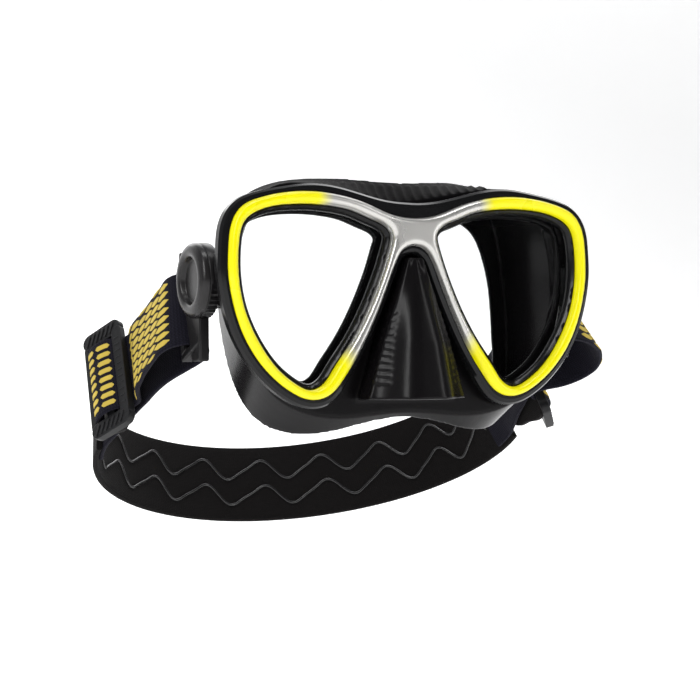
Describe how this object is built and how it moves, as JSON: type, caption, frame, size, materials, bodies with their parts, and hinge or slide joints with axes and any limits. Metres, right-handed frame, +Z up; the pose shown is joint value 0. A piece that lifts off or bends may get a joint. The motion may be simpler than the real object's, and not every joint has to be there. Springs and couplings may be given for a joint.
{
  "type": "snorkel mask",
  "caption": "Twin-lens snorkel mask: black silicone skirt with nose pocket, yellow and silver bezel, flat lenses, and a wide head strap on swivel buckles and slides.",
  "frame": {"origin": "centre of the face opening, on the mid-plane, 35.5 mm behind the plane of the lens frame", "axes": "-Y out through the lenses, +Y towards the wearer's head, +X to the wearer's left, +Z up"},
  "size_m": [0.2078, 0.1758, 0.1426],
  "materials": {
    "skirt_silicone": "glossy",
    "frame_black": "glossy",
    "bezel_yellow": "satin, fading to silver at the bridge",
    "rim_black": "glossy",
    "lens_glass": "clear",
    "buckle_black": "satin",
    "cap_grey": "satin",
    "pin_steel": "brushed",
    "webbing": "woven, with gold pads",
    "slide_black": "matt",
    "band_elastic": "knitted elastic",
    "grip_silicone": "satin"
  },
  "bodies": {
    "mask": {"skirt": "skirt_silicone", "main_frame": "frame_black", "bezel": "bezel_yellow", "right_rim": "rim_black", "left_rim": "rim_black", "right_lens": "lens_glass", "left_lens": "lens_glass", "right_pivot_pin": "pin_steel", "left_pivot_pin": "pin_steel"},
    "strap": {"right_buckle": "buckle_black", "left_buckle": "buckle_black", "right_hub_cap": "cap_grey", "left_hub_cap": "cap_grey", "right_webbing": "webbing", "left_webbing": "webbing", "head_band": "band_elastic", "upper_grip": "grip_silicone", "lower_grip": "grip_silicone"},
    "right_strap_slide": {"right_slide": "slide_black"},
    "left_strap_slide": {"left_slide": "slide_black"}
  },
  "joints": [
    {"name": "strap_swing", "type": "hinge", "parent": "mask", "child": "strap", "pos_m": [0, -0.013, 0.0035], "axis": [1, 0, 0], "range_deg": [-18, 62]},
    {"name": "right_slide_travel", "type": "slide", "parent": "strap", "child": "right_strap_slide", "axis": [0, 0.829, -0.5592], "range_m": [-0.012, 0.004], "deforming": ["right_webbing"]},
    {"name": "left_slide_travel", "type": "slide", "parent": "strap", "child": "left_strap_slide", "axis": [0, 0.829, -0.5592], "range_m": [-0.012, 0.004], "deforming": ["left_webbing"]}
  ]
}
